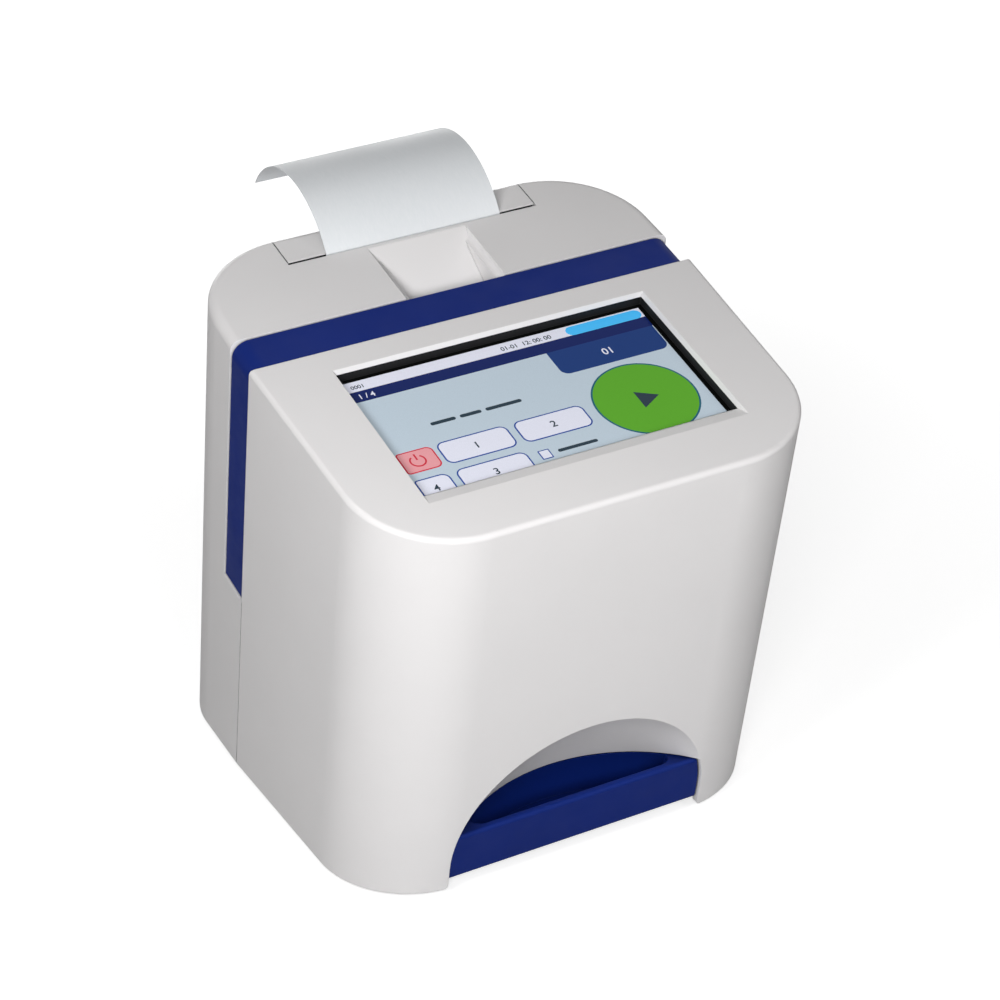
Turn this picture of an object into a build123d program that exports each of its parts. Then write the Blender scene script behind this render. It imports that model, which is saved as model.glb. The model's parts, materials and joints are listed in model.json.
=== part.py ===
from build123d import *
import os
from math import cos, radians, sin, tan

# Desktop rapid test reader with a touch screen, a front drawer and a thermal printer.
# Millimetres, +Z up, the user stands on the -Y side, the table is z = 0.
#
# The case is a straight prism that leans forward by TILT: its top plane slopes down to
# the user and its walls are square to that plane. Pieces of the case are drawn in the
# case frame (x, t, h): t runs back along the top plane from the seam between the covers
# and h is the height over that plane. The drawer and what serves it run level.

os.makedirs("parts", exist_ok=True)

# ---- driving dimensions ---------------------------------------------------------------
# Case.
TILT = 12.0                 # lean of the walls and slope of the top plane, degrees
SEAM_LENGTH = 157.0         # seam between the covers, top plane to lower edge
FOOT_LIFT = 1.5             # lower edge of the covers over the table
SEAM_HALF = 71.2            # half width of the case at the seam
FRONT_DEPTH = 86.3          # seam to front wall, along the top plane
REAR_DEPTH = 54.0           # seam to rear wall
FRONT_TAPER = 1.6           # plan taper of each side wall, degrees
REAR_TAPER = 1.7
CORNER_R = 30.0             # upright corners in plan
WALL = 2.5
TOP_WALL = 3.0
TOP_EDGE_R = 1.5            # front cover, between its top and its walls
REAR_EDGE_R = 3.0
LOWER_EDGE_R = 0.8
SEAM_GAP = 0.3              # round the accent frame
SEAM_GROOVE = 0.25          # half width of the shadow line between the covers
SEAM_GROOVE_DEPTH = 0.5
SEAM_NOTCH = 1.3            # the covers' corners fall back here at the seam's foot

# Accent frame between the covers.
BAND_WIDTH = 13.6           # along t
BAND_LEG = 88.0             # its legs, down from the top plane
BAND_INSET = 0.8            # it lies this far inside the covers' sides
BAND_SUNK = 0.5             # and this far under their top
BAND_CORNER_R = 5.0
BAND_THICK = 3.0
LIP_THICK = 1.2             # lip that runs under both covers

# Base.
PLATE_BOTTOM = 2.0
PLATE_TOP = 4.2
PLATE_VENTS = 7
PLATE_VENT_PITCH = 10.0
BOSS_X = 62.5
BOSS_R = 4.0
BOSS_TOP = 20.0
SCREW_HEAD = 1.3
FOOT_R = 7.0
FOOT_X = 46.0

# Screen opening, measured forward (toward the user) from the seam.
WINDOW_HALF = 49.7
WINDOW_NEAR_SEAM = 8.6
WINDOW_FAR = 68.7
BEVEL_DEPTH = 1.4
BEVEL_SIDE = 0.7            # narrow bevel on three sides, broad one toward the user
BEVEL_FRONT = 4.6
GLASS_DEPTH = 4.1
GLASS_THICK = 1.1
GLASS_SIZE = (105.6, 67.2)
MODULE_THICK = 3.0
SCREEN_ACTIVE = (95.04, 53.86)
SCREEN_TOP = 10.7           # first pixel row from the seam
BRACKET_SIZE = (118.0, 72.0)
BRACKET_SHEET = 1.2
STANDOFF_LENGTH = 11.0
BOARD_SIZE = (112.0, 62.0)
BOARD_MID = -42.0
BOARD_THICK = 1.6

# Arch, niche and drawer. The niche is one spherical scoop shared by cover and drawer.
ARCH_R = 42.3
ARCH_CENTRE = 8.9           # up the front wall from its lower edge
ARCH_FOOT_R = 1.8           # round corners where the arch meets the lower edge
NICHE_DEPTH = 20.0
DRAWER_TOP = 21.5           # over the table
DRAWER_BOTTOM = 4.7
DRAWER_RECESS = 1.2         # drawer front behind the front wall
DRAWER_EDGE_R = 1.1
DRAWER_CLEAR = 0.5
DRAWER_TRAVEL = 52.0
DRAWER_LENGTH = 118.0
LEDGE = 2.4                 # thickness of the drawer's front wall at its top
POCKET_HALF = 33.4
POCKET_CORNER_R = 4.0
TRAY_FLOOR = 7.2
TAIL_POCKETS = 3
FLANGE_HALF = 44.0
FLANGE_Z = (6.2, 8.2)
RAIL_X = (42.2, 47.0)
INSERT_SIZE = (76.0, 30.0)
INSERT_FLOOR = 9.2
CASSETTE = (70.5, 20.5, 5.0)  # seat for one test cassette lying across the drawer

# Reading optics over the closed drawer.
SEAT_BACK = 37.0            # middle of the cassette seat, behind the front wall's foot
BRIDGE_HALF = 54.0
BRIDGE_DEPTH = 38.0
BRIDGE_TOP = 44.0
BRIDGE_SHEET = 2.5
HOOD_WALL = 1.8
CAMERA_Z = 74.0
LEDS = 8

# Paper slot, door and printer.
SLOT_T = 40.3               # front edge of the paper slot, behind the seam
SLOT_GAP = 1.2
DOOR_HALF = 40.4
DOOR_DROP = 62.0            # how far the door runs down the rear wall
DOOR_GAP = 0.4
LIP_EDGE = 0.4              # height of the door's front edge over its undercut
HINGE_R = 3.4
HINGE_PIN_R = 1.5
EAR_X = 37.3                # inner face of the ears that carry the platen
PAPER_WIDTH = 57.0
PAPER_THICK = 0.3
PAPER_BEND_R = 30.0
PAPER_START = 151.0         # degrees round the bend's centre, in the side view
PAPER_SWEEP = 115.5         # degrees of the curl that stands out of the slot
SCOOP_HALF = 14.0           # finger recess in front of the slot
SCOOP_SLOPE = 23.3          # degrees under the top plane
SCOOP_WALL = 1.5            # wall at the scoop's deep end, behind the accent frame
SCOOP_EDGE_R = 2.0          # its rolled side edges
ROLL_R = 18.0
ROLL_T = 25.5
ROLL_H = -43.0
CORE_R = (6.5, 5.2)
TROUGH_R = 20.0
PLATEN_R = 4.0
PLATEN_H = -9.5
PLATEN_LENGTH = 58.0
HEAD_GAP = 0.25             # print head in front of the middle of the paper path
FRAME_X = 31.5              # inner face of the printer frame's side plates
FRAME_SHEET = 1.6
MOTOR_PLATE_X = 38.2
SHAFT_R = 1.5
GEAR_PIN_R = 1.5
GEAR_MODULE = 0.7
PLATEN_TEETH = 14
IDLER_TEETH = 24
PINION_TEETH = 10
GEAR_X = 34.0               # inner face of the gear train
GEAR_WIDTH = 3.0
MESH_CLEAR = 0.1
IDLER_ANGLE = 212.0         # from the platen's axis to the idler's, in the side view
PINION_ANGLE = 262.0        # from the idler's axis to the motor's
TEAR_PITCH = 1.5

# Sockets and switch on the lower rear wall.
SOCKET_H = -134.0
POWER_X = 33.5
SWITCH_X = 18.0
USB_X = 1.0
SERIAL_X = -24.5
SWITCH_SIZE = (10.6, 16.6)  # opening of the switch's bezel
ROCK = 10.0                 # degrees that the rocker rests off its middle
IO_BOARD_BACK = 18.0        # connector board, in front of the rear wall's face
VENT_COUNT = 9
VENT_PITCH = 5.0
VENT_H = -92.0

FAR = 200.0                 # reach of cutting blocks that run past everything

# ---- frames ---------------------------------------------------------------------------
UP = (0, -sin(radians(TILT)), cos(radians(TILT)))
BACK = (0, cos(radians(TILT)), sin(radians(TILT)))
seam_top_z = FOOT_LIFT + SEAM_LENGTH * UP[2]


def to_world(t, h, seam_y=0.0):
    """Side-view position (y, z) of a case-frame point."""
    top_y = seam_y - SEAM_LENGTH * sin(radians(TILT))
    return top_y + t * BACK[1] + h * UP[1], seam_top_z + t * BACK[2] + h * UP[2]


# The origin is under the middle of the whole box, between the front top edge and the
# paper's far reach, so the seam's place follows from those two.
paper_t = SLOT_T + SLOT_GAP / 2
front_reach = to_world(-FRONT_DEPTH, 0)[0]
bend_reach = to_world(paper_t, 0)[0] - PAPER_BEND_R * cos(radians(PAPER_START))
tip_angle = radians(PAPER_START - PAPER_SWEEP)
tip_reach = bend_reach + (PAPER_BEND_R + PAPER_THICK / 2) * cos(tip_angle)
SEAM_Y = -(front_reach + tip_reach) / 2

CASE = Plane(origin=(0, *to_world(0, 0, SEAM_Y)), x_dir=(1, 0, 0), z_dir=UP)
wall_drop = to_world(-FRONT_DEPTH, 0)[1] - FOOT_LIFT
FRONT_Y = to_world(-FRONT_DEPTH, 0, SEAM_Y)[0] + wall_drop * tan(radians(TILT))
SEAT_Y = FRONT_Y + SEAT_BACK
BOSS_Y = (FRONT_Y + 36, SEAM_Y + 22)
FOOT_Y = (FRONT_Y + 18, SEAM_Y + 41)


def lean(shape):
    """Move a shape from the case frame to the world."""
    return CASE.location * shape


def block(x0, x1, y0, y1, z0, z1):
    """Box between two corners."""
    middle = Pos((x0 + x1) / 2, (y0 + y1) / 2, (z0 + z1) / 2)
    return middle * Box(abs(x1 - x0), abs(y1 - y0), abs(z1 - z0))


def both_sides(shape):
    """A shape and its mirror image on the other side of the middle plane."""
    return shape + mirror(shape, Plane.YZ)


def rod_x(radius, x0, x1, y, z):
    """Cylinder along X."""
    return Pos((x0 + x1) / 2, y, z) * Rot(0, 90, 0) * Cylinder(radius, x1 - x0)


def tube_x(outer, inner, x0, x1, y, z):
    return rod_x(outer, x0, x1, y, z) - rod_x(inner, x0 - 1, x1 + 1, y, z)


def side_prism(points, half):
    """Prism along X from a side-view outline."""
    face = make_face(Plane.YZ * Polyline(*points, close=True))
    return Pos(-half, 0, 0) * extrude(face, 2 * half, dir=(1, 0, 0))


def above(z):
    """World half space over a level plane."""
    return block(-FAR, FAR, -FAR, FAR, z, z + 2 * FAR)


def save(name, shape):
    shape.label = name
    export_step(shape, f"parts/{name}.step")


# ---- case outline -------------------------------------------------------------------------
def half_plan(depth, taper, inset, side):
    """Plan of one cover: straight across the seam, large round corners at the far end."""
    far = depth - inset
    seam_half = SEAM_HALF - inset
    far_half = seam_half - depth * tan(radians(taper))
    corners = [(-seam_half, 0), (seam_half, 0), (far_half, side * far), (-far_half, side * far)]
    face = make_face(Polyline(*corners, close=True))
    ends = face.vertices().filter_by(lambda v: abs(v.Y) > 1)
    return fillet(ends, CORNER_R - inset)


def front_prism(inset, top):
    return extrude(Pos(0, 0, top) * half_plan(FRONT_DEPTH, FRONT_TAPER, inset, -1), -FAR - top)


def rear_prism(inset, top):
    return extrude(Pos(0, 0, top) * half_plan(REAR_DEPTH, REAR_TAPER, inset, 1), -FAR - top)


def hollow_of(prism):
    """Inside of a cover, open toward the seam."""
    half = SEAM_HALF - WALL - 2.7
    return prism(WALL, -TOP_WALL) + block(-half, half, -1, 1, -FAR, -TOP_WALL)


def outer_form(prism, edge_r):
    """Closed cover form, with its top edge and its lower edge rounded."""
    form = prism(0, 0)
    top = form.faces().sort_by(Axis.Z)[-1]
    form = fillet(top.edges().filter_by(lambda e: abs(e.center().Y) > 1), edge_r)
    form = lean(form) & above(FOOT_LIFT)
    low = form.edges().filter_by(lambda e: abs(e.center().Z - FOOT_LIFT) < 0.01)
    return fillet(low.filter_by(lambda e: abs(e.center().Y - SEAM_Y) > 1), LOWER_EDGE_R)


def seam_line():
    """Shadow groove down the sides at the seam, and the notch at its foot."""
    groove = block(SEAM_HALF - SEAM_GROOVE_DEPTH, SEAM_HALF + 1, -SEAM_GROOVE, SEAM_GROOVE, -FAR, -BAND_LEG)
    y = SEAM_Y
    notch = [(y - SEAM_NOTCH, FOOT_LIFT - 1), (y - SEAM_NOTCH / 2, FOOT_LIFT), (y, FOOT_LIFT + SEAM_NOTCH),
             (y + SEAM_NOTCH / 2, FOOT_LIFT), (y + SEAM_NOTCH, FOOT_LIFT - 1)]
    return lean(both_sides(groove)) + side_prism(notch, FAR / 2)


def boss(y):
    """Pair of screw bosses just over the base plate, webbed to the side walls; and their bores."""
    low = PLATE_TOP + 0.2
    post = Pos(BOSS_X, y, (low + BOSS_TOP) / 2) * Cylinder(BOSS_R, BOSS_TOP - low)
    web = block(BOSS_X, BOSS_X + 7.5, y - 1, y + 1, low, BOSS_TOP)
    bore = Pos(BOSS_X, y, BOSS_TOP / 2) * Cylinder(1.6, BOSS_TOP - 4)
    return both_sides(post + web), both_sides(bore)


# ---- arch, niche and drawer outline ------------------------------------------------------
ARCH_H = ARCH_CENTRE - wall_drop / UP[2]
ARCH_Z = FOOT_LIFT + ARCH_CENTRE * UP[2]
NICHE_R = (ARCH_R ** 2 + NICHE_DEPTH ** 2) / (2 * NICHE_DEPTH)


def niche_ball(extra=0.0):
    """The scoop: a ball that meets the front wall in the arch's circle."""
    centre_t = -FRONT_DEPTH - (NICHE_R - NICHE_DEPTH)
    return lean(Pos(0, centre_t, ARCH_H) * Sphere(NICHE_R + extra))


def arch_prism(clear, y0, y1):
    """Level prism with the arch's outline, upright sides below its centre."""
    half = ARCH_R - clear
    crown = Ellipse(half, half * UP[2])
    legs = Pos(0, -40) * Rectangle(2 * half, 80)
    profile = Plane(origin=(0, y0, ARCH_Z), x_dir=(1, 0, 0), z_dir=(0, 1, 0))
    # This plane's local y points down, so the legs are mirrored to hang below the crown.
    face = profile.location * mirror(crown + legs, Plane.XZ)
    return extrude(face, y1 - y0, dir=(0, 1, 0))


def arch_feet():
    """What rounds the cover's corners at both feet of the arch."""
    y0, y1 = FRONT_Y - 10, FRONT_Y + 12
    corner = block(ARCH_R - 1, ARCH_R + ARCH_FOOT_R, y0, y1, FOOT_LIFT - 1, FOOT_LIFT + ARCH_FOOT_R)
    round_at = Pos(ARCH_R + ARCH_FOOT_R, (y0 + y1) / 2, FOOT_LIFT + ARCH_FOOT_R)
    return both_sides(corner - round_at * Rot(90, 0, 0) * Cylinder(ARCH_FOOT_R, y1 - y0 + 1))


# ---- case ---------------------------------------------------------------------------------
def front_cover():
    """Front moulding: screen opening, arch and rolled-in niche."""
    outer = outer_form(front_prism, TOP_EDGE_R)
    shell = outer - lean(hollow_of(front_prism))

    # Rolled-in niche behind the arch, open below the drawer's top.
    over_drawer = above(DRAWER_TOP + DRAWER_CLEAR)
    niche = (niche_ball(WALL) & outer) & over_drawer
    shell = shell + niche - niche_ball()
    passage = arch_prism(0, FRONT_Y - 40, FRONT_Y + 45)
    shell = shell - (passage - over_drawer) - arch_feet()

    # Screen opening: a bevel, then a rebate for the black gasket.
    mouth_mid = -(WINDOW_NEAR_SEAM + WINDOW_FAR) / 2
    mouth = Pos(0, mouth_mid, 0.01) * Rectangle(2 * WINDOW_HALF, WINDOW_FAR - WINDOW_NEAR_SEAM)
    near, far = WINDOW_NEAR_SEAM + BEVEL_SIDE, WINDOW_FAR - BEVEL_FRONT
    throat = Rectangle(2 * (WINDOW_HALF - BEVEL_SIDE), far - near)
    bevel = loft(Sketch() + [mouth, Pos(0, -(near + far) / 2, -BEVEL_DEPTH) * throat])
    shell = shell - lean(bevel) - lean(gasket_lip(0.1)) - seam_line()

    posts, bores = boss(BOSS_Y[0])
    return shell + (posts & outer) - bores


def gasket_lip(clear=0.0):
    """Block that fills the screen opening under its bevel."""
    half = WINDOW_HALF - BEVEL_SIDE + 1 + clear
    near = -(WINDOW_NEAR_SEAM + BEVEL_SIDE - 1) + clear
    far = -(WINDOW_FAR - BEVEL_FRONT + 1) - clear
    return block(-half, half, far, near, -GLASS_DEPTH, -BEVEL_DEPTH)


def door_opening(clear):
    """Space that the printer door fills, from the slot over the rear edge and down."""
    half = DOOR_HALF + clear
    top = block(-half, half, SLOT_T, REAR_DEPTH + 5, -6.5, 5)
    back = block(-half, half, REAR_DEPTH - 7, REAR_DEPTH + 5, -DOOR_DROP - clear, 5)
    return top + back


scoop_start = SLOT_T - 1.3
scoop_foot = BAND_WIDTH + SCOOP_WALL
scoop_deep = (scoop_start - BAND_WIDTH) * tan(radians(SCOOP_SLOPE))


def scoop():
    """Finger recess: a ramp that deepens from the slot toward the accent frame."""
    under_band = -BAND_SUNK - BAND_THICK
    ramp = [(scoop_start, 0), (scoop_start, 3), (BAND_WIDTH, 3), (BAND_WIDTH, under_band),
            (scoop_foot, under_band), (scoop_foot, -scoop_deep)]
    # Seen along the ramp, its side walls roll over into the top plane.
    half, r = SCOOP_HALF, SCOOP_EDGE_R
    wall = Polyline((half, -r), (half, -30), (-half, -30), (-half, -r))
    left = RadiusArc((-half, -r), (-half - r, 0), r)
    right = RadiusArc((half + r, 0), (half, -r), r)
    lid = Polyline((-half - r, 0), (-half - r, 4), (half + r, 4), (half + r, 0))
    mouth = make_face(Plane.XZ * (wall + left + lid + right))
    return side_prism(ramp, half + r) & extrude(mouth, SLOT_T + 10, dir=(0, 1, 0))


def scoop_backing():
    """Wall under the finger recess."""
    low = -scoop_deep - WALL
    backing = [(scoop_start + 1, -1), (BAND_WIDTH, -1), (BAND_WIDTH, low), (scoop_foot + 1, low)]
    return side_prism(backing, SCOOP_HALF + WALL)


def rear_cover():
    """Rear moulding: paper slot, finger recess, door opening, vents and socket holes."""
    outer = outer_form(rear_prism, REAR_EDGE_R)
    shell = outer - lean(hollow_of(rear_prism)) + lean(scoop_backing())
    band_room = block(-90, 90, -5, BAND_WIDTH, -BAND_LEG, 20)
    shell = shell - lean(band_room) - lean(scoop())

    inside = DOOR_HALF + DOOR_GAP
    shell = shell - lean(door_opening(DOOR_GAP))
    shell = shell - lean(rod_x(HINGE_R + 0.6, -inside, inside, HINGE_T, HINGE_H))
    shell = shell + lean(hinge_ears()) + lean(side_cheeks())
    shell = shell - lean(rod_x(HINGE_PIN_R, -DOOR_HALF - 4, DOOR_HALF + 4, HINGE_T, HINGE_H))
    shell = shell - lean(rear_cutouts()) - seam_line()

    posts, bores = boss(BOSS_Y[1])
    return shell + (posts & outer) - bores


HINGE_T = REAR_DEPTH - HINGE_R
HINGE_H = -DOOR_DROP + HINGE_R + 0.2


def hinge_ears():
    """Two ears inside the rear wall that hold the hinge pin beside the door."""
    x0, x1 = DOOR_HALF + DOOR_GAP, DOOR_HALF + 4
    ear = rod_x(HINGE_R + 1, x0, x1, HINGE_T, HINGE_H)
    ear += block(x0, x1, HINGE_T, REAR_DEPTH - 1, HINGE_H - 5, HINGE_H + 5)
    return both_sides(ear) & rear_prism(0.5, -1)


def side_cheeks():
    """Ribs that close the printer bay on both sides of the door."""
    cheek = block(DOOR_HALF + DOOR_GAP, DOOR_HALF + 2.4, SLOT_T + 1, REAR_DEPTH - 1, -14, -1)
    return both_sides(cheek) & rear_prism(0.5, -1)


def wall_hole(x, half_wide, half_high):
    """Cutter for a rectangular hole through the lower rear wall."""
    return block(x - half_wide, x + half_wide, REAR_DEPTH - 6, REAR_DEPTH + 6,
                 SOCKET_H - half_high, SOCKET_H + half_high)


def rear_cutouts():
    cut = Pos(POWER_X, REAR_DEPTH, SOCKET_H) * Rot(90, 0, 0) * Cylinder(4.6, 12)
    cut += wall_hole(SWITCH_X, 6.6, 9.6) + wall_hole(USB_X, 7.4, 8.2) + wall_hole(SERIAL_X, 10, 5.6)
    vent = extrude(Plane.XZ * SlotOverall(22, 2.2, rotation=90), 12)
    for i in range(VENT_COUNT):
        x = (i - (VENT_COUNT - 1) / 2) * VENT_PITCH
        cut += Pos(x, REAR_DEPTH + 6, VENT_H) * vent
    return cut


def portal(half, top, radius, thick, bottom):
    """Front view of an inverted U with rounded shoulders."""
    def outline(out, low):
        points = [(-half + out, low), (-half + out, top - out), (half - out, top - out), (half - out, low)]
        face = make_face(Polyline(*points, close=True))
        shoulders = face.vertices().filter_by(lambda v: v.Y > bottom + 1)
        return fillet(shoulders, max(radius - out, 1))
    return outline(0, bottom) - outline(thick, bottom - 1)


def accent_frame():
    """Inverted U between the covers, with a thin lip that runs under both of them."""
    section = portal(SEAM_HALF - BAND_INSET, -BAND_SUNK, BAND_CORNER_R, BAND_THICK, -BAND_LEG)
    band = extrude(Plane.XZ * section, -BAND_WIDTH)
    band = band & block(-90, 90, SEAM_GAP, BAND_WIDTH - SEAM_GAP, -BAND_LEG + SEAM_GAP, 5)
    section = portal(SEAM_HALF - WALL - 0.3, -TOP_WALL - 0.3, BAND_CORNER_R, LIP_THICK, -BAND_LEG + 1)
    lip = extrude(Plane.XZ * section, -BAND_WIDTH - 2) & rear_prism(WALL + 0.3, 0)
    half = SCOOP_HALF + WALL + 1
    scoop_room = block(-half, half, BAND_WIDTH - SEAM_GAP, 30, -30, 5)
    return lean(band + lip - scoop_room)


def base_plate():
    """Plate that closes the case from below, cut back behind the drawer's front."""
    plan = front_prism(WALL + 0.2, 0) + rear_prism(WALL + 0.2, 0)
    plate = lean(plan) & block(-90, 90, -FAR, FAR, PLATE_BOTTOM, PLATE_TOP)
    half = ARCH_R + ARCH_FOOT_R + 0.5
    plate -= block(-half, half, FRONT_Y - 30, FRONT_Y + 10.5, 0, 10)
    for y in BOSS_Y:
        hole = Pos(BOSS_X, y, PLATE_BOTTOM) * (Cylinder(1.7, 20) + Cylinder(3.2, 2 * SCREW_HEAD))
        plate -= both_sides(hole)
    # Vent slots under the electronics.
    vent = extrude(SlotOverall(16, 2.5, rotation=90), 10)
    for i in range(PLATE_VENTS):
        x = (i - (PLATE_VENTS - 1) / 2) * PLATE_VENT_PITCH
        plate -= Pos(x, SEAM_Y + 38, 0) * vent
    return plate


def rubber_feet():
    foot = Cylinder(FOOT_R, PLATE_BOTTOM)
    foot = chamfer(foot.edges().sort_by(Axis.Z)[0], 0.5)
    places = [(x, y) for x in (-FOOT_X, FOOT_X) for y in FOOT_Y]
    return Compound(children=[Pos(x, y, PLATE_BOTTOM / 2) * foot for x, y in places])


def case_screws():
    screw = Pos(0, 0, SCREW_HEAD / 2) * Cylinder(2.8, SCREW_HEAD) + Pos(0, 0, 5) * Cylinder(1.5, 9)
    screw -= extrude(RegularPolygon(1.25, 6), 0.8)
    places = [(x, y) for x in (-BOSS_X, BOSS_X) for y in BOSS_Y]
    return Compound(children=[Pos(x, y, PLATE_BOTTOM) * screw for x, y in places])


# ---- screen and electronics ---------------------------------------------------------------
GLASS_MID = -(SCREEN_TOP + SCREEN_ACTIVE[1] / 2)
BRACKET_TOP = -GLASS_DEPTH - GLASS_THICK - MODULE_THICK
BOARD_TOP = BRACKET_TOP - STANDOFF_LENGTH
STANDOFFS = [(x, t) for x in (-50, 50) for t in (BOARD_MID - 26, BOARD_MID + 26)]


def screen_gasket():
    near = -(WINDOW_NEAR_SEAM + BEVEL_SIDE)
    far = -(WINDOW_FAR - BEVEL_FRONT)
    half = WINDOW_HALF - BEVEL_SIDE
    flange = block(-GLASS_SIZE[0] / 2, GLASS_SIZE[0] / 2, GLASS_MID - GLASS_SIZE[1] / 2 + 0.5,
                   GLASS_MID + GLASS_SIZE[1] / 2 - 0.5, -GLASS_DEPTH, -TOP_WALL - 0.04)
    hole = block(-half, half, far, near, -10, 5)
    return lean(gasket_lip() + flange - hole)


def level_plate(size, middle, top, thick):
    """Rectangular plate parallel to the top plane."""
    return Pos(0, middle, top - thick / 2) * Box(*size, thick)


def touch_panel():
    glass = level_plate(GLASS_SIZE, GLASS_MID, -GLASS_DEPTH, GLASS_THICK)
    return lean(fillet(glass.edges().filter_by(Axis.Z), 1.5))


def display_module():
    module = level_plate(GLASS_SIZE, GLASS_MID, -GLASS_DEPTH - GLASS_THICK, MODULE_THICK)
    return lean(fillet(module.edges().filter_by(Axis.Z), 1.0))


def display_bracket():
    """Pressed steel tray that clamps the display and carries the main board."""
    bracket = level_plate(BRACKET_SIZE, GLASS_MID, BRACKET_TOP, BRACKET_SHEET)
    for x in (-30, 30):
        bracket -= Pos(x, GLASS_MID, BRACKET_TOP) * Box(36, 44, 10)
    for x, t in STANDOFFS:
        bracket += Pos(x, t, (BRACKET_TOP + BOARD_TOP) / 2) * Cylinder(2.5, STANDOFF_LENGTH)
    for x, t in STANDOFFS:
        bracket -= Pos(x, t, BOARD_TOP) * Cylinder(1.2, 10)
    edge = BRACKET_SIZE[0] / 2
    flange = block(edge - BRACKET_SHEET, edge, GLASS_MID - 20, GLASS_MID + 20,
                   BRACKET_TOP - BRACKET_SHEET, -TOP_WALL - 0.05)
    return lean(bracket + both_sides(flange))


def main_board():
    board = level_plate(BOARD_SIZE, BOARD_MID, BOARD_TOP, BOARD_THICK)
    for x, t in STANDOFFS:
        board -= Pos(x, t, BOARD_TOP) * Cylinder(1.5, 10)
    under = BOARD_TOP - BOARD_THICK
    processor, memory, driver = (-14, -40, 16, 16, 1.6), (14, -38, 12, 9, 1.2), (34, -52, 9, 9, 1.2)
    coil, ribbon = (-38, -30, 10, 14, 2.2), (0, -66, 36, 5, 5.5)
    plugs = (44, -30, 6, 18, 5.0), (-46, -54, 5, 16, 5.0)
    for x, t, wide, deep, tall in (processor, memory, driver, coil, ribbon, *plugs):
        board += Pos(x, t, under - tall / 2) * Box(wide, deep, tall)
    return lean(board)


def board_screws():
    screw = Pos(0, 0, -0.9) * Cylinder(2.4, 1.8) + Pos(0, 0, 2.1) * Cylinder(1.15, 4.2)
    under = BOARD_TOP - BOARD_THICK
    return Compound(children=[lean(Pos(x, t, under) * screw) for x, t in STANDOFFS])


# ---- reading optics --------------------------------------------------------------------------
def optics_frame():
    """Bridge that stands on the base plate over the drawer."""
    half, deep = BRIDGE_HALF, BRIDGE_DEPTH / 2
    bridge = block(-half, half, SEAT_Y - deep, SEAT_Y + deep, PLATE_TOP, BRIDGE_TOP)
    inside = half - BRIDGE_SHEET
    bridge -= block(-inside, inside, SEAT_Y - 30, SEAT_Y + 30, -1, BRIDGE_TOP - BRIDGE_SHEET)
    bridge -= block(-40, 40, SEAT_Y - 14, SEAT_Y + 14, BRIDGE_TOP - 5, BRIDGE_TOP + 5)
    foot = block(half - 1, half + 3.5, SEAT_Y - deep, SEAT_Y + deep, PLATE_TOP, PLATE_TOP + BRIDGE_SHEET)
    return bridge + both_sides(foot)


def optics_hood():
    """Light-tight funnel from the cassette seat up to the camera."""
    def funnel(inset, low, high):
        wide = Pos(0, SEAT_Y, low) * Rectangle(78 - 2 * inset, 26 - 2 * inset)
        narrow = Pos(0, SEAT_Y, high) * Rectangle(36 - 2 * inset, 24 - 2 * inset)
        return loft(Sketch() + [wide, narrow])
    low = DRAWER_TOP + 1.5
    flange = block(-44, 44, SEAT_Y - 17, SEAT_Y + 17, BRIDGE_TOP, BRIDGE_TOP + 2)
    return funnel(0, low, CAMERA_Z) + flange - funnel(HOOD_WALL, low - 0.01, CAMERA_Z + 0.01)


def camera_board():
    board = block(-18, 18, SEAT_Y - 12, SEAT_Y + 12, CAMERA_Z, CAMERA_Z + BOARD_THICK)
    return board + block(-9, 9, SEAT_Y - 7, SEAT_Y + 7, CAMERA_Z + BOARD_THICK, CAMERA_Z + 6)


def camera_lens():
    barrel = Pos(0, SEAT_Y, CAMERA_Z - 4) * Cylinder(6, 8)
    barrel += Pos(0, SEAT_Y, CAMERA_Z - 9.5) * Cylinder(7.5, 3)
    return barrel - Pos(0, SEAT_Y, CAMERA_Z - 11) * Cylinder(4, 4)


def led_ring():
    ring = Pos(0, SEAT_Y, CAMERA_Z - 6) * (Cylinder(9.9, 1.2) - Cylinder(6.1, 4))
    for i in range(LEDS):
        angle = radians(360 / LEDS * i)
        ring += Pos(8 * cos(angle), SEAT_Y + 8 * sin(angle), CAMERA_Z - 7.1) * Box(2, 2, 1.1)
    return ring


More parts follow.
